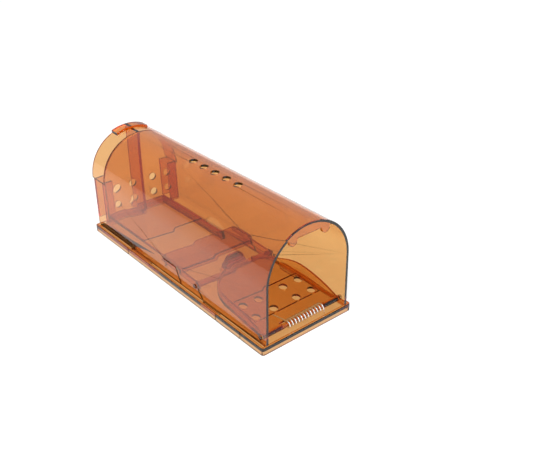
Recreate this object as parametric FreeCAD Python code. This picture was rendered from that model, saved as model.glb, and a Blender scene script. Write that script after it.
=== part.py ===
import FreeCAD, Part
import os

# Live catch trap for mice: a base tray, an arched tunnel cover, a sprung front door,
# a tread plate that latches it, a lift-out bait door, and one torsion spring.
# Millimetres. The origin is the centre of the base's underside. The entrance faces -Y,
# the tunnel runs along Y, and +Z is up. The trap stands set, with its front door down.

V = FreeCAD.Vector
X_AXIS = V(1, 0, 0)
Y_AXIS = V(0, 1, 0)
EPS = 0.5                      # how far a cutting tool runs past a face
FAR = 80.0                     # clear of the whole trap, for the ends of wide cutting tools

# Base tray
BASE_LENGTH = 170.0
BASE_HALF_WIDTH = 30.8
BASE_HEIGHT = 4.4              # to the top of the rim
BASE_CORNER_R = 1.6
RIM = 1.4                      # rim thickness
DECK_TOP = 3.4
DECK = 1.6                     # deck thickness
RIM_EDGE_R = 0.35
SKIRT_MARKS = (43.9, -45.8, -66.8)
MARK_WIDTH = 0.7
MARK_DEPTH = 0.35

# Raised platform at the back of the base
PLATFORM_HALF_WIDTH = 21.3
PLATFORM_FRONT = 14.0
PLATFORM_TOP = 8.3
PLATFORM_STEP_Y = 39.0
PLATFORM_STEP = 0.7            # the bait end stands this much higher
PLATFORM_NOSE_R = 4.0          # rounding of the platform's front edge
WALL = 1.5                     # general wall thickness of the mouldings

# Tunnel cover
ARCH_CENTRE_Z = 36.53
ARCH_R = 27.76
LEG_FOOT = 27.96               # half-width of the legs where they meet the deck
TUNNEL_FRONT = -84.4
ARCH_BACK = 71.1
LEG_BACK = 84.6
LEG_TOP = 36.2                 # top of the low side walls at the bait end
ROOF_HOLES = 5
ROOF_HOLE_R = 2.5
ROOF_HOLE_FIRST = -28.4
ROOF_HOLE_PITCH = 10.22
STOP_Z = 58.5                  # lower edge of the stop plate under the roof
STOP_TAB_Z = 55.0
STOP_TAB_X = 10.65
STOP_TAB_R = 2.65
GUIDE_INNER = 20.5             # inner edge of the guide flanges for the bait door
GUIDE_FRONT_Y = 73.6
GUIDE_BACK_Y = 83.1
GUIDE_FOOT = 9.4
RELIEF_SLIT = 0.9              # width of the slits that let the walls flex by the tread pins
RELIEF_LONG = ((7.2, 12.9), (-4.9, 12.9), (-9.4, 4.3))
RELIEF_SHORT = ((-26.4, 8.9), (-30.1, 4.6))

# Snap tongues under the legs: middle and length along Y
TONGUES = ((33.5, 20.3), (-38.0, 13.1))
TONGUE_FOOT = 0.5
BARB_REACH = 29.1
BARB_TOP = 1.7
SLOT_OUTER = 28.6
SLOT_INNER_GAP = 0.25
SLOT_END_GAP = 0.4
RIM_GAP = 0.1                  # between the legs' ends and the rim

# Front door, drawn flat and then tilted to its set angle
DOOR_Y = -80.0
DOOR_Z = 7.3
DOOR_SET_ANGLE = 6.8
DOOR_R = 25.9
DOOR_STRAIGHT = 29.0
DOOR_PLATE = 1.5
DOOR_TIP_CUT = 53.6            # the tip is cut flat here for the latch
DOOR_TIP_HALF = 7.2
DOOR_LIP = 1.1                 # thickness of the raised lip round the door
DOOR_LIP_END = 9.0             # the lip stops this far either side of the middle
LIP_CREST = ((0.0, 0.6), (25.0, 4.2), (43.0, 2.0))     # distance from the hinge, height
LIP_AT_TIP = 1.8
PANEL = (10.0, 30.0, 22.3)     # start, end and half-width of the panel inside the bead
BEAD = 1.2                     # width of the bead round the panel
BEAD_HEIGHT = 0.5
BEAD_SLOPE = 0.3
VENT_R = 2.5
VENT_ROWS = (13.6, 24.4)
VENT_X = (-18.8, -7.9, 7.9, 18.8)
SHAFT_R = 1.5
SPRING_SEAT_R = 1.3
SPRING_BAY = (-13.4, 14.8)
SPRING_BAY_DEPTH = 3.2
PIN_R = 1.3
PIN_END = 28.4
BORE_CLEARANCE = 0.06

# Tread plate
TREAD_Y = -23.5
TREAD_Z = 9.5
TREAD_HALF_WIDTH = 25.9
TREAD_FRONT = -7.7
TREAD_BACK = 11.4
TREAD_FRONT_Z = 12.0
TREAD_BACK_Z = 13.0
TREAD_PLATE = 1.5
TREAD_NOSE_FOOT = 9.2          # lower end of the plate's turned-down front edge
CROSSBAR_R = 1.8
CHEEK = 1.2
CHEEK_EDGE = ((-6.7, 12.2), (2.5, 13.9), (11.4, 13.0))  # its convex upper edge, Y and Z
CHEEK_UNDER = (9.6, 8.6)       # height of its lower edge at the plate's back and front
CHEEK_AT_PIVOT = (7.9, 11.3)
EYE_R = 2.6
HOOK_HALF = 5.8
HOOK_TOP = 19.4                # top of the upright tab behind the lip
HOOK_CORNER_R = 3.8
HOOK_LIP_Z = (13.8, 15.2)      # underside and top of the lip at its front end
HOOK_FRONT = -26.5
HOOK_BACK = -18.6
HOOK_WALL = 1.2

# Bait door at the back
BAIT_PLATE_Y = 71.4
BAIT_PLATE = 1.5
BAIT_HALF_WIDTH = 25.9
BAIT_FOOT = 9.4
HOOD_R = 27.8
HOOD_BACK = 86.3
HOOD_FOOT = 36.5
BAIT_RIB = 1.8
BAIT_VENT_X = (-18.3, -7.3, 7.3, 18.3)
BAIT_VENT_Z = (20.5, 31.2)
GRIP_HEIGHT = 1.5
GRIP_FRONT = 79.5
GRIP_HALF = 11.0

# Torsion spring round the door's shaft
COIL_R = 2.25                  # to the wire's centre
WIRE_R = 0.4
COIL_START = -11.0
COIL_LENGTH = 24.0
COIL_TURNS = 11                # whole turns; part of one more brings the end to the front
COIL_START_ANGLE = 86.6        # where the first leg leaves the coil, from +Y towards +Z
DOOR_LEG = 9.0
DECK_LEG = 3.5


def box(x0, x1, y0, y1, z0, z1):
    return Part.makeBox(x1 - x0, y1 - y0, z1 - z0, V(x0, y0, z0))


def rod(radius, x0, x1, y, z):
    """A round bar along X."""
    return Part.makeCylinder(radius, x1 - x0, V(x0, y, z), X_AXIS)


def mirrored(shape):
    """The same shape on the other side of the trap's middle plane."""
    return shape.mirror(V(0, 0, 0), X_AXIS)


def both_sides(shape):
    return [shape, mirrored(shape)]


def polygon_face(points):
    return Part.Face(Part.makePolygon([V(*p) for p in points] + [V(*points[0])]))


def side_block(profile, x0, x1):
    """A block from x0 to x1 with the given outline of Y and Z."""
    return polygon_face([(x0, y, z) for y, z in profile]).extrude(V(x1 - x0, 0, 0))


def fuse(shapes):
    return shapes[0].multiFuse(shapes[1:]).removeSplitter()


def export(node, shape):
    solids = shape.Solids
    if len(solids) != 1 or not shape.isValid():
        raise ValueError(node + " is not one valid solid")
    print(node, round(shape.Volume), "mm3", shape.BoundBox)
    shape.exportStep("parts/" + node + ".step")


def arch_face(leg_foot, radius, foot_z, y):
    """An arch on two slightly splayed legs, in the plane at y."""
    left_foot = V(-leg_foot, y, foot_z)
    left = V(-radius, y, ARCH_CENTRE_Z)
    top = V(0, y, ARCH_CENTRE_Z + radius)
    right = V(radius, y, ARCH_CENTRE_Z)
    right_foot = V(leg_foot, y, foot_z)
    edges = [
        Part.LineSegment(left_foot, left).toShape(),
        Part.Arc(left, top, right).toShape(),
        Part.LineSegment(right, right_foot).toShape(),
        Part.LineSegment(right_foot, left_foot).toShape(),
    ]
    return Part.Face(Part.Wire(edges))


def arch_block(leg_foot, radius, foot_z, y0, y1):
    return arch_face(leg_foot, radius, foot_z, y0).extrude(V(0, y1 - y0, 0))


# Base tray ---------------------------------------------------------------------------

def tray_blank(inset, z0, z1):
    half_x = BASE_HALF_WIDTH - inset
    half_y = BASE_LENGTH / 2 - inset
    blank = box(-half_x, half_x, -half_y, half_y, z0, z1)
    corners = [e for e in blank.Edges if abs(e.tangentAt(e.FirstParameter).z) > 0.9]
    return blank.makeFillet(max(BASE_CORNER_R - inset, 0.3), corners)


def round_nose(block, radius):
    """Rounds the upper front edge of a block."""
    bounds = block.BoundBox
    nose = [e for e in block.Edges if e.BoundBox.ZMin > bounds.ZMax - 0.01
            and e.BoundBox.YMax < bounds.YMin + 0.01]
    return block.makeFillet(radius, nose)


def platform():
    back = BASE_LENGTH / 2 - RIM + 0.2
    low = round_nose(box(-PLATFORM_HALF_WIDTH, PLATFORM_HALF_WIDTH, PLATFORM_FRONT, back,
                         DECK_TOP - DECK, PLATFORM_TOP), PLATFORM_NOSE_R)
    high = box(-PLATFORM_HALF_WIDTH, PLATFORM_HALF_WIDTH, PLATFORM_STEP_Y, back,
               PLATFORM_TOP - 1, PLATFORM_TOP + PLATFORM_STEP)
    return low.fuse(high)


def platform_hollow():
    half = PLATFORM_HALF_WIDTH - WALL
    hollow = box(-half, half, PLATFORM_FRONT + WALL, BASE_LENGTH / 2 - RIM,
                 -EPS, PLATFORM_TOP - WALL)
    return round_nose(hollow, PLATFORM_NOSE_R - WALL)


def snap_slot(middle, length):
    half = length / 2 + SLOT_END_GAP
    return box(LEG_FOOT - WALL - SLOT_INNER_GAP, SLOT_OUTER, middle - half, middle + half,
               -EPS, DECK_TOP + EPS)


def skirt_marks():
    """Shallow upright grooves on the outside of the skirt."""
    half = MARK_WIDTH / 2
    return [box(BASE_HALF_WIDTH - MARK_DEPTH, BASE_HALF_WIDTH + EPS, y - half, y + half,
                -EPS, BASE_HEIGHT + EPS) for y in SKIRT_MARKS]


def base_tray():
    body = tray_blank(0, 0, BASE_HEIGHT)
    top_edges = [e for e in body.Edges if e.BoundBox.ZMin > BASE_HEIGHT - 0.01]
    body = body.makeFillet(RIM_EDGE_R, top_edges)
    body = body.cut(tray_blank(RIM, DECK_TOP, BASE_HEIGHT + EPS))
    body = body.cut(tray_blank(RIM, -EPS, DECK_TOP - DECK))
    body = fuse([body, platform()])
    tools = [platform_hollow()]
    for middle, length in TONGUES:
        tools += both_sides(snap_slot(middle, length))
    for mark in skirt_marks():
        tools += both_sides(mark)
    return body.cut(tools).removeSplitter()


# Tunnel cover ------------------------------------------------------------------------

def tunnel_shell():
    outer = arch_block(LEG_FOOT, ARCH_R, DECK_TOP, TUNNEL_FRONT, LEG_BACK)
    inner = arch_block(LEG_FOOT - WALL, ARCH_R - WALL, DECK_TOP, TUNNEL_FRONT, LEG_BACK)
    inner = inner.fuse(box(-LEG_FOOT + WALL, LEG_FOOT - WALL, TUNNEL_FRONT - EPS,
                           LEG_BACK + EPS, DECK_TOP - EPS, DECK_TOP + 0.01))
    above = box(-FAR, FAR, ARCH_BACK, LEG_BACK + EPS, LEG_TOP, FAR)
    return outer.cut(inner).cut(above)


def stop_plate():
    """Closes the top of the entrance, with two round tabs that stop the door."""
    y1 = TUNNEL_FRONT + WALL
    disc = arch_block(LEG_FOOT, ARCH_R - 0.4, DECK_TOP, TUNNEL_FRONT, y1)
    segment = disc.common(box(-FAR, FAR, TUNNEL_FRONT, y1, STOP_Z, FAR))
    tabs = []
    for side in (-1, 1):
        x = side * STOP_TAB_X
        centre_z = STOP_TAB_Z + STOP_TAB_R
        tabs += [
            box(x - STOP_TAB_R, x + STOP_TAB_R, TUNNEL_FRONT, y1, centre_z, STOP_Z + 1),
            Part.makeCylinder(STOP_TAB_R, WALL, V(x, TUNNEL_FRONT, centre_z), Y_AXIS),
        ]
    return fuse([segment] + tabs)


def guide_flange(y):
    """An inward flange on the right-hand wall that guides the bait door."""
    return box(GUIDE_INNER, LEG_FOOT - 0.6, y, y + WALL, GUIDE_FOOT, LEG_TOP)


def snap_tongue(middle, length):
    """A tongue that runs down through the deck, with a barb that catches under it."""
    y0 = middle - length / 2
    inner = LEG_FOOT - WALL
    outline = [
        (inner, DECK_TOP + 1), (LEG_FOOT, DECK_TOP + 1), (LEG_FOOT, BARB_TOP),
        (BARB_REACH, BARB_TOP), (LEG_FOOT - 0.4, TONGUE_FOOT), (inner, TONGUE_FOOT)]
    return polygon_face([(x, y0, z) for x, z in outline]).extrude(V(0, length, 0))


def slit(start, end):
    """A straight slot through both side walls, from start to end in the Y-Z plane."""
    along = V(0, end[0] - start[0], end[1] - start[1])
    side = along.cross(X_AXIS).normalize() * (RELIEF_SLIT / 2)
    near, far = V(-FAR, *start), V(-FAR, *end)
    outline = Part.makePolygon([near + side, far + side, far - side, near - side, near + side])
    tool = Part.Face(outline).extrude(V(2 * FAR, 0, 0))
    ends = [rod(RELIEF_SLIT / 2, -FAR, FAR, *point) for point in (start, end)]
    return fuse([tool] + ends)


def relief_slits():
    corner_points = list(zip(RELIEF_LONG, RELIEF_LONG[1:]))
    return [slit(a, b) for a, b in corner_points + [RELIEF_SHORT]]


def pin_bore(y, z):
    return rod(PIN_R + BORE_CLEARANCE, -LEG_FOOT - EPS, LEG_FOOT + EPS, y, z)


def tunnel_cover():
    pieces = [tunnel_shell(), stop_plate()]
    for y in (GUIDE_FRONT_Y, GUIDE_BACK_Y):
        pieces += both_sides(guide_flange(y))
    for middle, length in TONGUES:
        pieces += both_sides(snap_tongue(middle, length))
    body = fuse(pieces)
    tools = [pin_bore(DOOR_Y, DOOR_Z), pin_bore(TREAD_Y, TREAD_Z)] + relief_slits()
    for i in range(ROOF_HOLES):
        y = ROOF_HOLE_FIRST + i * ROOF_HOLE_PITCH
        tools.append(Part.makeCylinder(ROOF_HOLE_R, 10, V(0, y, ARCH_CENTRE_Z + ARCH_R - 5)))
    # the legs' ends are cut back to clear the rim across the front and the back
    for y in (-BASE_LENGTH / 2, BASE_LENGTH / 2):
        clear = RIM + RIM_GAP
        tools.append(box(-FAR, FAR, y - clear, y + clear, DECK_TOP - EPS, BASE_HEIGHT + RIM_GAP))
    return body.cut(tools).removeSplitter()


# Front door --------------------------------------------------------------------------

def door_outline(inset, z):
    """The door's outline, straight from the hinge and then half round."""
    half = DOOR_R - inset
    start = inset if inset else 0
    near_left, near_right = V(-half, start, z), V(half, start, z)
    far_left, far_right = V(-half, DOOR_STRAIGHT, z), V(half, DOOR_STRAIGHT, z)
    tip = V(0, DOOR_STRAIGHT + half, z)
    edges = [
        Part.LineSegment(near_left, far_left).toShape(),
        Part.Arc(far_left, tip, far_right).toShape(),
        Part.LineSegment(far_right, near_right).toShape(),
        Part.LineSegment(near_right, near_left).toShape(),
    ]
    return Part.Face(Part.Wire(edges))


def door_lip():
    """A raised lip round the door, highest along the sides, that fills the entrance."""
    ring = door_outline(0, 0).extrude(V(0, 0, 6))
    ring = ring.cut(door_outline(DOOR_LIP, -1).extrude(V(0, 0, 8)))
    length = DOOR_STRAIGHT + DOOR_R
    rise = Part.Arc(*[V(-FAR, y, z) for y, z in LIP_CREST]).toShape()
    outline = [LIP_CREST[2], (length, LIP_AT_TIP), (length, -EPS), (0, -EPS), LIP_CREST[0]]
    corners = [V(-FAR, y, z) for y, z in outline]
    lines = [Part.makeLine(a, b) for a, b in zip(corners, corners[1:])]
    side_view = Part.Face(Part.Wire([rise] + lines)).extrude(V(2 * FAR, 0, 0))
    gap = box(-DOOR_LIP_END, DOOR_LIP_END, DOOR_STRAIGHT, FAR, -1, 8)
    return ring.common(side_view).cut(gap)


def rectangle_loft(y0, y1, half, slope, z0, z1):
    """A low block whose sides lean in by slope from z0 to z1."""
    wires = []
    for inset, z in ((0, z0), (slope, z1)):
        ring = [V(-half + inset, y0 + inset, z), V(half - inset, y0 + inset, z),
                V(half - inset, y1 - inset, z), V(-half + inset, y1 - inset, z)]
        wires.append(Part.makePolygon(ring + [ring[0]]))
    return Part.makeLoft(wires, True, True)


def panel_bead():
    """A raised bead round the vented part of the door."""
    y0, y1, half = PANEL
    block = rectangle_loft(y0, y1, half, BEAD_SLOPE, -0.2, BEAD_HEIGHT)
    inside = rectangle_loft(y0 + BEAD, y1 - BEAD, half - BEAD, -BEAD_SLOPE,
                            -EPS, BEAD_HEIGHT + 0.01)
    return block.cut(inside)


def front_door():
    plate = door_outline(0, -DOOR_PLATE).extrude(V(0, 0, DOOR_PLATE))
    left, right = SPRING_BAY
    shaft = [rod(SHAFT_R, -DOOR_R, left, 0, 0), rod(SHAFT_R, right, DOOR_R, 0, 0),
             rod(SPRING_SEAT_R, left - 1, right + 1, 0, 0), rod(PIN_R, -PIN_END, PIN_END, 0, 0)]
    bay = box(left, right, -EPS, SPRING_BAY_DEPTH, -5, 5)
    tip = box(-DOOR_TIP_HALF, DOOR_TIP_HALF, DOOR_TIP_CUT, DOOR_TIP_CUT + 5, -5, 5)
    plate = fuse([plate, door_lip(), panel_bead()]).cut([bay, tip])
    vents = [Part.makeCylinder(VENT_R, 6, V(x, y, -3)) for x in VENT_X for y in VENT_ROWS]
    door = fuse([plate.cut(vents)] + shaft)
    door.rotate(V(0, 0, 0), X_AXIS, DOOR_SET_ANGLE)
    door.translate(V(0, DOOR_Y, DOOR_Z))
    return door


# Tread plate -------------------------------------------------------------------------

def cheek():
    """A side arm with its pivot eye, rising into a low convex guard beside the plate."""
    x = TREAD_HALF_WIDTH - CHEEK
    edge = Part.Arc(*[V(x, y, z) for y, z in CHEEK_EDGE]).toShape()
    under_back, under_front = CHEEK_UNDER
    pivot_foot, pivot_top = CHEEK_AT_PIVOT
    outline = [
        CHEEK_EDGE[2], (TREAD_BACK, under_back), (TREAD_FRONT, under_front),
        (TREAD_Y, pivot_foot), (TREAD_Y, pivot_top), CHEEK_EDGE[0]]
    corners = [V(x, y, z) for y, z in outline]
    sides = [Part.makeLine(a, b) for a, b in zip(corners, corners[1:])]
    return Part.Face(Part.Wire([edge] + sides)).extrude(V(CHEEK, 0, 0))


def tread_panel():
    """The plate the animal steps on, higher at its back, its front edge turned down."""
    inner_y = TREAD_FRONT + TREAD_PLATE
    profile = [
        (TREAD_FRONT, TREAD_FRONT_Z), (TREAD_BACK, TREAD_BACK_Z),
        (TREAD_BACK, TREAD_BACK_Z - TREAD_PLATE), (inner_y, TREAD_FRONT_Z - TREAD_PLATE),
        (inner_y, TREAD_NOSE_FOOT), (TREAD_FRONT, TREAD_NOSE_FOOT)]
    return side_block(profile, -TREAD_HALF_WIDTH, TREAD_HALF_WIDTH)


def hook():
    """The latch: a tower on the crossbar, with a lip over the door's tip and a rounded tab."""
    lip_foot, lip_top = HOOK_LIP_Z
    profile = [
        (HOOK_FRONT, lip_foot), (HOOK_FRONT + 0.3, lip_top), (TREAD_Y - 1.5, lip_top + 0.2),
        (TREAD_Y - 0.4, HOOK_TOP), (TREAD_Y + 1.0, HOOK_TOP), (HOOK_BACK - 1.9, lip_foot - 1.4),
        (HOOK_BACK, TREAD_Z + 1), (HOOK_BACK, TREAD_Z), (TREAD_Y, TREAD_Z),
        (TREAD_Y - 0.7, lip_foot)]
    tower = side_block(profile, -HOOK_HALF, HOOK_HALF)
    front = box(-HOOK_HALF, HOOK_HALF, HOOK_FRONT - 1, HOOK_BACK + 1, TREAD_Z - 1, HOOK_TOP)
    corners = [e for e in front.Edges if e.BoundBox.ZMin > HOOK_TOP - 0.01
               and e.BoundBox.XLength < 0.01]
    tower = tower.common(front.makeFillet(HOOK_CORNER_R, corners))
    half = HOOK_HALF - HOOK_WALL
    pocket = box(-half, half, TREAD_Y + 0.9, HOOK_BACK + 1, TREAD_Z - 3, lip_foot - HOOK_WALL)
    return tower.cut(pocket)


def tread():
    crossbar = rod(CROSSBAR_R, -TREAD_HALF_WIDTH, TREAD_HALF_WIDTH, TREAD_Y, TREAD_Z)
    eye = rod(EYE_R, TREAD_HALF_WIDTH - CHEEK, TREAD_HALF_WIDTH, TREAD_Y, TREAD_Z)
    pin = rod(PIN_R, -PIN_END, PIN_END, TREAD_Y, TREAD_Z)
    pieces = [tread_panel(), crossbar, pin, hook()] + both_sides(cheek()) + both_sides(eye)
    return fuse(pieces)


# Bait door ---------------------------------------------------------------------------

def hood():
    """A half-round band that carries the tunnel's arch on to the back end."""
    outer = arch_block(HOOD_R, HOOD_R, HOOD_FOOT, ARCH_BACK + 0.2, HOOD_BACK)
    inner = arch_block(HOOD_R - WALL, HOOD_R - WALL, HOOD_FOOT - EPS, ARCH_BACK, HOOD_BACK + EPS)
    return outer.cut(inner)


def bait_plate():
    y0, y1 = BAIT_PLATE_Y, BAIT_PLATE_Y + BAIT_PLATE
    upper = arch_block(HOOD_R - 0.5, HOOD_R - 0.5, HOOD_FOOT, y0, y1)
    lower = box(-BAIT_HALF_WIDTH, BAIT_HALF_WIDTH, y0, y1, BAIT_FOOT, HOOD_FOOT + 1)
    vents = [Part.makeCylinder(VENT_R, 6, V(x, BAIT_PLATE_Y - 2, z), Y_AXIS)
             for x in BAIT_VENT_X for z in BAIT_VENT_Z]
    return upper.fuse(lower).cut(vents)


def grip():
    """A raised finger lip on top of the hood."""
    block = arch_block(HOOD_R, HOOD_R + GRIP_HEIGHT, HOOD_FOOT, GRIP_FRONT, HOOD_BACK)
    inside = arch_block(HOOD_R - 0.5, HOOD_R - 0.5, HOOD_FOOT - EPS, ARCH_BACK, HOOD_BACK + EPS)
    return block.cut(inside).common(box(-GRIP_HALF, GRIP_HALF, ARCH_BACK, HOOD_BACK, LEG_TOP, FAR))


def bait_door():
    top = ARCH_CENTRE_Z + HOOD_R - 0.5
    rib = box(-BAIT_RIB / 2, BAIT_RIB / 2, BAIT_PLATE_Y, HOOD_BACK, BAIT_FOOT, top)
    return fuse([bait_plate(), hood(), rib, grip()])


# Torsion spring ----------------------------------------------------------------------

def spring():
    """A close helix round the door's shaft, one leg on the door and one on the deck."""
    turns = COIL_TURNS + (180 - COIL_START_ANGLE) / 360
    helix = Part.makeHelix(COIL_LENGTH / turns, COIL_LENGTH, COIL_R)
    first, last = helix.Edges[0], helix.Edges[-1]
    start, end = first.valueAt(first.FirstParameter), last.valueAt(last.LastParameter)
    start_way = first.tangentAt(first.FirstParameter)
    end_way = last.tangentAt(last.LastParameter)
    door_leg = Part.makeLine(start - start_way * DOOR_LEG, start)
    deck_leg = Part.makeLine(end, end + end_way * DECK_LEG)
    path = Part.Wire([door_leg] + helix.Edges + [deck_leg])
    section = Part.Wire(Part.makeCircle(WIRE_R, start - start_way * DOOR_LEG, start_way))
    wire = path.makePipeShell([section], True, False)
    # lay the helix along X and turn it until its first leg lies along the door
    wire.rotate(V(0, 0, 0), Y_AXIS, 90)
    wire.rotate(V(0, 0, 0), X_AXIS, 90 + COIL_START_ANGLE)
    wire.translate(V(COIL_START, DOOR_Y, DOOR_Z))
    return wire


def main():
    os.makedirs("parts", exist_ok=True)
    export("base_tray", base_tray())
    export("tunnel_cover", tunnel_cover())
    export("front_door", front_door())
    export("tread_plate", tread())
    export("bait_door", bait_door())
    export("torsion_spring", spring())


main()
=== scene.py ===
"""A live catch trap in clear amber plastic with a bare steel torsion spring, on a pale studio floor.

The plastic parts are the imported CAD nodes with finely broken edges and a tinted, light-absorbing plastic.
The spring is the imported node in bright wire. Everything is in metres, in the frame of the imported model.
"""

import math

import bpy
from mathutils import Matrix, Vector

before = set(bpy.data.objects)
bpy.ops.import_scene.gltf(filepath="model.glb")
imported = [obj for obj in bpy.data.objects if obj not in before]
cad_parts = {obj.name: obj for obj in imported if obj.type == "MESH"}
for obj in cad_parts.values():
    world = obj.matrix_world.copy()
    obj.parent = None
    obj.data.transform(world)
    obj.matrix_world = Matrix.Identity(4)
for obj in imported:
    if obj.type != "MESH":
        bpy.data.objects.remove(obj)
bpy.context.view_layer.update()

MM = 0.001

# Clear plastic: what one metre of it takes out of red, green and blue light.
PLASTIC_ABSORBS = (55.0, 305.0, 740.0)
PLASTIC_IOR = 1.57
SURFACE_TINT = (0.89, 0.76, 0.60)
SURFACE_TINT_DEEP = (0.86, 0.71, 0.54)

FLOW_STRETCH = (1.0, 0.3, 1.0)      # the tint's streaks run along the trap
SCRATCH_STRETCH = (40.0, 900.0, 40.0)
RIPPLE_STRENGTH = 0.25
RIPPLE_HEIGHT = 0.05 * MM

# Each moulding: its material, its roughness, what handling adds, and the radius of its broken edges.
# The tray's edges are broken less, because the bevel spills past its skirt beside the grooves.
MOULDINGS = {
    "base_tray": ("amber_tray", 0.03, 0.06, 0.04 * MM),
    "tunnel_cover": ("amber_tunnel", 0.02, 0.05, 0.12 * MM),
    "front_door": ("amber_door", 0.03, 0.06, 0.12 * MM),
    "tread_plate": ("amber_tread", 0.03, 0.06, 0.10 * MM),
    "bait_door": ("amber_bait_door", 0.02, 0.05, 0.12 * MM),
}
SHARP_ANGLE = math.radians(24)
WELD_DISTANCE = 1e-7

STEEL_BRIGHT = (0.96, 0.95, 0.92)
STEEL_DULL = (0.82, 0.80, 0.77)

# Camera: where it stands, which way it looks, and its lens.
CAMERA_PLACE = Vector((-0.20968, -0.30485, 0.22923))
CAMERA_TURN = math.radians(-39.94)
CAMERA_DOWN = math.radians(28.69)
CAMERA_ROLL = math.radians(-0.375)
CAMERA_LENS = 48.43
SENSOR_WIDTH = 36.0

FLOOR_SIDE = 8.0
FLOOR_GLOW = 0.80
FLOOR_GAP = 0.2 * MM                # keeps the floor off the tray's underside
FLOOR_GREYS = ((0.27, 0.27, 0.27), (0.26, 0.26, 0.262))

# Lights: place, point aimed at, side and watts.
KEY_LIGHT = ((-0.75, -0.45, 0.75), (0, 0, 0.0), 0.5, 16.0)
FRONT_LIGHT = ((0.25, -1.1, 0.9), (0, 0, 0.03), 0.6, 5.0)
WORLD_GLOW = 0.62


def new_material(name):
    """An empty node material and its output node."""
    material = bpy.data.materials.new(name)
    material.use_nodes = True
    tree = material.node_tree
    tree.nodes.clear()
    output = tree.nodes.new("ShaderNodeOutputMaterial")
    return material, tree, output


def noise(tree, vector, scale, detail=3.0, roughness=0.5):
    """A noise texture's value at that scale, in features per metre."""
    node = tree.nodes.new("ShaderNodeTexNoise")
    node.inputs["Scale"].default_value = scale
    node.inputs["Detail"].default_value = detail
    node.inputs["Roughness"].default_value = roughness
    tree.links.new(vector, node.inputs["Vector"])
    return node.outputs["Fac"]


def mapped(tree, value, low, high, to_low, to_high):
    """value from low..high brought to to_low..to_high, and held there."""
    node = tree.nodes.new("ShaderNodeMapRange")
    node.clamp = True
    ends = {"From Min": low, "From Max": high, "To Min": to_low, "To Max": to_high}
    for name, number in ends.items():
        node.inputs[name].default_value = number
    tree.links.new(value, node.inputs["Value"])
    return node.outputs["Result"]


def object_place(tree, stretch=(1.0, 1.0, 1.0)):
    """The point on the object, in metres, stretched along its axes."""
    coordinates = tree.nodes.new("ShaderNodeTexCoord")
    mapping = tree.nodes.new("ShaderNodeMapping")
    mapping.inputs["Scale"].default_value = stretch
    tree.links.new(coordinates.outputs["Object"], mapping.inputs["Vector"])
    return mapping.outputs["Vector"]


def plus(tree, a, b):
    node = tree.nodes.new("ShaderNodeMath")
    node.operation = "ADD"
    tree.links.new(a, node.inputs[0])
    tree.links.new(b, node.inputs[1])
    return node.outputs["Value"]


def blended(tree, share, first, second):
    """Two colours mixed by share."""
    node = tree.nodes.new("ShaderNodeMix")
    node.data_type = "RGBA"
    node.inputs["A"].default_value = (*first, 1.0)
    node.inputs["B"].default_value = (*second, 1.0)
    tree.links.new(share, node.inputs["Factor"])
    return node.outputs["Result"]


def amber_plastic(name, gloss, handling):
    """Clear amber plastic: flow streaks in the tint, mould ripple, and fine handling scratches."""
    material, tree, output = new_material(name)
    place = object_place(tree)
    streaks = object_place(tree, FLOW_STRETCH)

    tint = mapped(tree, noise(tree, streaks, 60.0, 4.0), 0.35, 0.65, 0.0, 1.0)
    ripple = noise(tree, place, 90.0, 2.0)
    scratches = noise(tree, object_place(tree, SCRATCH_STRETCH), 1.0, 6.0, 0.7)
    smears = noise(tree, place, 45.0, 5.0, 0.6)
    scratch_roughness = mapped(tree, scratches, 0.60, 0.72, 0.0, handling)
    smear_roughness = mapped(tree, smears, 0.45, 0.75, gloss, gloss + handling)

    bump = tree.nodes.new("ShaderNodeBump")
    bump.inputs["Strength"].default_value = RIPPLE_STRENGTH
    bump.inputs["Distance"].default_value = RIPPLE_HEIGHT
    tree.links.new(ripple, bump.inputs["Height"])

    shader = tree.nodes.new("ShaderNodeBsdfPrincipled")
    shader.inputs["Transmission Weight"].default_value = 1.0
    shader.inputs["IOR"].default_value = PLASTIC_IOR
    tree.links.new(blended(tree, tint, SURFACE_TINT, SURFACE_TINT_DEEP), shader.inputs["Base Color"])
    tree.links.new(plus(tree, smear_roughness, scratch_roughness), shader.inputs["Roughness"])
    tree.links.new(bump.outputs["Normal"], shader.inputs["Normal"])
    tree.links.new(shader.outputs["BSDF"], output.inputs["Surface"])

    absorption = tree.nodes.new("ShaderNodeVolumeAbsorption")
    strongest = max(PLASTIC_ABSORBS)
    kept = [1.0 - rate / strongest for rate in PLASTIC_ABSORBS]
    absorption.inputs["Color"].default_value = (*kept, 1.0)
    absorption.inputs["Density"].default_value = strongest
    tree.links.new(absorption.outputs["Volume"], output.inputs["Volume"])
    return material


def spring_steel():
    """Bright drawn wire."""
    material, tree, output = new_material("spring_steel")
    place = object_place(tree)
    wear = noise(tree, place, 900.0, 4.0)
    shader = tree.nodes.new("ShaderNodeBsdfPrincipled")
    shader.inputs["Metallic"].default_value = 1.0
    tree.links.new(blended(tree, wear, STEEL_BRIGHT, STEEL_DULL), shader.inputs["Base Color"])
    tree.links.new(mapped(tree, wear, 0.3, 0.7, 0.14, 0.28), shader.inputs["Roughness"])
    tree.links.new(shader.outputs["BSDF"], output.inputs["Surface"])
    return material


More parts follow.
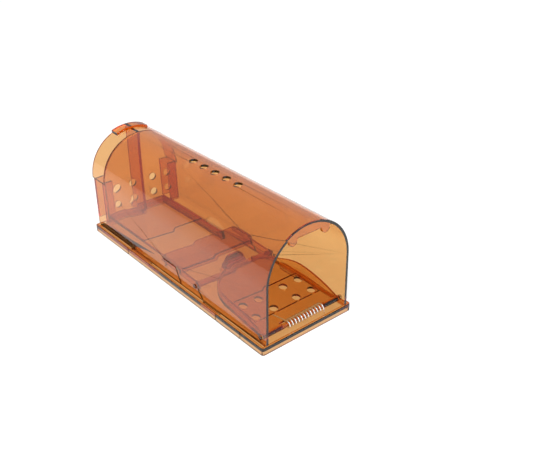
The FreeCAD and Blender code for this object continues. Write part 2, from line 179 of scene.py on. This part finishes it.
def smooth_everywhere():
    """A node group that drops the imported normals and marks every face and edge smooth."""
    group = bpy.data.node_groups.new("smooth_everywhere", "GeometryNodeTree")
    group.interface.new_socket("Geometry", in_out="INPUT", socket_type="NodeSocketGeometry")
    group.interface.new_socket("Geometry", in_out="OUTPUT", socket_type="NodeSocketGeometry")
    last = group.nodes.new("NodeGroupInput").outputs["Geometry"]
    forget = group.nodes.new("GeometryNodeRemoveAttribute")
    forget.inputs["Name"].default_value = "custom_normal"
    group.links.new(last, forget.inputs["Geometry"])
    last = forget.outputs["Geometry"]
    for domain in ("FACE", "EDGE"):
        smooth = group.nodes.new("GeometryNodeSetShadeSmooth")
        smooth.domain = domain
        group.links.new(last, smooth.inputs["Geometry"])
        last = smooth.outputs["Geometry"]
    group.links.new(last, group.nodes.new("NodeGroupOutput").inputs["Geometry"])
    return group


def keeper_of_normals(node):
    """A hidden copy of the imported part, whose own normals the rounded part takes over."""
    keeper = bpy.data.objects.new(node.name + "_normals", node.data.copy())
    bpy.context.scene.collection.objects.link(keeper)
    keeper.hide_render = True
    keeper.hide_viewport = True
    return keeper


def break_edges(node, radius, smoother):
    """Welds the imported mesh's seams and rounds its sharp edges."""
    weld = node.modifiers.new("weld", "WELD")
    weld.merge_threshold = WELD_DISTANCE
    smooth = node.modifiers.new("smooth", "NODES")
    smooth.node_group = smoother
    bevel = node.modifiers.new("broken_edges", "BEVEL")
    bevel.width = radius
    bevel.segments = 2
    bevel.limit_method = "ANGLE"
    bevel.angle_limit = SHARP_ANGLE
    bevel.use_clamp_overlap = False
    bevel.miter_outer = "MITER_ARC"
    normals = node.modifiers.new("face_normals", "WEIGHTED_NORMAL")
    normals.mode = "FACE_AREA_WITH_ANGLE"
    exact = node.modifiers.new("design_normals", "DATA_TRANSFER")
    exact.object = keeper_of_normals(node)
    exact.use_object_transform = False
    exact.use_loop_data = True
    exact.data_types_loops = {"CUSTOM_NORMAL"}
    exact.loop_mapping = "POLYINTERP_NEAREST"


def dress(node, material):
    """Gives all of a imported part's faces one material."""
    for slot in node.material_slots:
        slot.material = material


def pale_floor():
    """A glowing, nearly white studio floor just below the trap."""
    half = FLOOR_SIDE / 2
    mesh = bpy.data.meshes.new("studio_floor")
    corners = [(x * half, y * half, -FLOOR_GAP) for x, y in ((-1, -1), (1, -1), (1, 1), (-1, 1))]
    mesh.from_pydata(corners, [], [(0, 1, 2, 3)])
    floor = bpy.data.objects.new("studio_floor", mesh)
    bpy.context.scene.collection.objects.link(floor)
    material, tree, output = new_material("floor_white")
    shader = tree.nodes.new("ShaderNodeBsdfPrincipled")
    shader.inputs["Roughness"].default_value = 0.9
    shader.inputs["Specular IOR Level"].default_value = 0.1
    grain = noise(tree, object_place(tree), 12.0, 3.0)
    tree.links.new(blended(tree, grain, *FLOOR_GREYS), shader.inputs["Base Color"])
    shader.inputs["Emission Color"].default_value = (1.0, 1.0, 1.0, 1.0)
    shader.inputs["Emission Strength"].default_value = FLOOR_GLOW
    tree.links.new(shader.outputs["BSDF"], output.inputs["Surface"])
    mesh.materials.append(material)


def soft_light(name, place, aim, side, watts):
    data = bpy.data.lights.new(name, "AREA")
    data.shape = "SQUARE"
    data.size = side
    data.energy = watts
    lamp = bpy.data.objects.new(name, data)
    bpy.context.scene.collection.objects.link(lamp)
    lamp.location = place
    lamp.rotation_euler = (Vector(aim) - Vector(place)).to_track_quat("-Z", "Y").to_euler()
    return lamp


def studio_world():
    world = bpy.data.worlds.new("studio")
    world.use_nodes = True
    background = world.node_tree.nodes["Background"]
    background.inputs["Color"].default_value = (1.0, 1.0, 1.0, 1.0)
    background.inputs["Strength"].default_value = WORLD_GLOW
    bpy.context.scene.world = world


def camera():
    data = bpy.data.cameras.new("camera")
    data.sensor_width = SENSOR_WIDTH
    data.lens = CAMERA_LENS
    data.clip_start = 0.01
    eye = bpy.data.objects.new("camera", data)
    bpy.context.scene.collection.objects.link(eye)
    turn = Matrix.Rotation(CAMERA_TURN, 4, "Z")
    tilt = Matrix.Rotation(math.pi / 2 - CAMERA_DOWN, 4, "X")
    roll = Matrix.Rotation(CAMERA_ROLL, 4, "Z")
    eye.matrix_world = Matrix.Translation(CAMERA_PLACE) @ turn @ tilt @ roll
    bpy.context.scene.camera = eye


smoother = smooth_everywhere()
for part_name, (material_name, gloss, handling, radius) in MOULDINGS.items():
    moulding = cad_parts[part_name]
    dress(moulding, amber_plastic(material_name, gloss, handling))
    break_edges(moulding, radius, smoother)
dress(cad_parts["torsion_spring"], spring_steel())

pale_floor()
studio_world()
key = soft_light("key", *KEY_LIGHT)
key.visible_glossy = False
key.visible_transmission = False
soft_light("front", *FRONT_LIGHT)
camera()

scene = bpy.context.scene
scene.view_settings.view_transform = "Standard"
scene.cycles.max_bounces = 32
scene.cycles.transmission_bounces = 32
scene.cycles.glossy_bounces = 12
scene.cycles.transparent_max_bounces = 16

bpy.context.view_layer.update()
